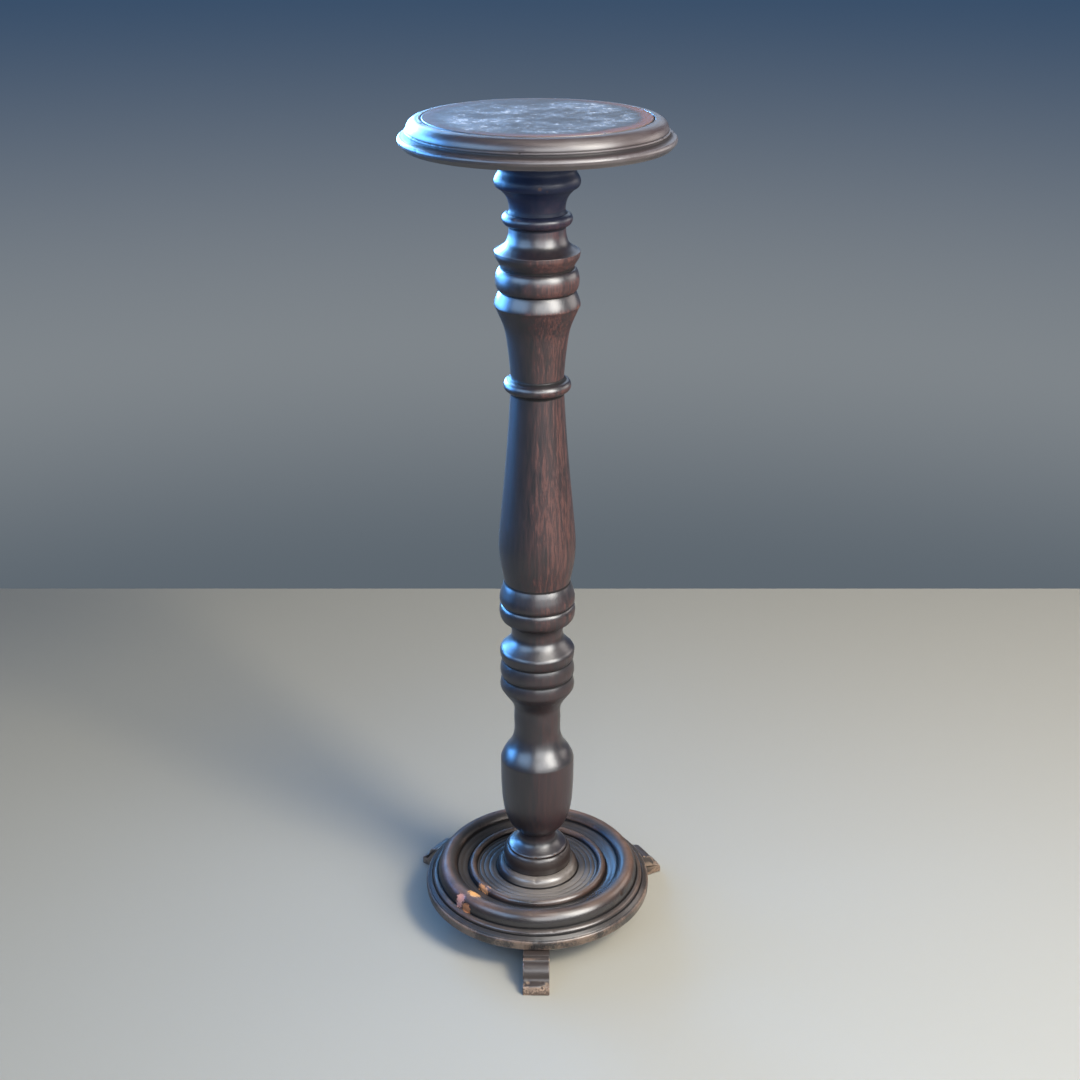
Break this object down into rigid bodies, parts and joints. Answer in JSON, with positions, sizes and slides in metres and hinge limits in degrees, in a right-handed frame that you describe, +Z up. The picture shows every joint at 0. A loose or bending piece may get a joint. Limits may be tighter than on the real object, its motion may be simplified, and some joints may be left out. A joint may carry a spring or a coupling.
{
  "type": "turned wooden pedestal stand",
  "caption": "Tall turned pedestal stand of dark-stained wood: a moulded round top on a baluster column, a moulded round base and small scroll feet, for holding a plant, vase or bust.",
  "frame": {"origin": "on the floor, in the middle of the rectangle that the stand covers from above; the column's axis stands 5.1 mm towards -X and 16.3 mm towards +Y of it", "axes": "+Z up along the column, -Y towards the front foot, +X to the right as seen from the front"},
  "size_m": [0.3202, 0.3276, 1],
  "materials": {
    "polished_top": "dark walnut stain under an old satin lacquer, scratched and bloomed milky on the flat, worn red-brown at the edge",
    "dark_column": "near-black walnut stain under satin lacquer, red-brown where the lacquer is rubbed thin along the grain",
    "dark_collar": "near-black walnut stain under satin lacquer",
    "dark_base": "dark walnut stain under satin lacquer, worn red-brown on the crests, with bare scrapes and a pale worn rim",
    "worn_feet": "dark stain, dull, rubbed to raw wood at the toes"
  },
  "bodies": {
    "root": {"top_board": "polished_top", "column": "dark_column", "collar": "dark_collar", "base_board": "dark_base", "foot_front": "worn_feet", "foot_right": "worn_feet", "foot_left": "worn_feet"}
  },
  "joints": []
}
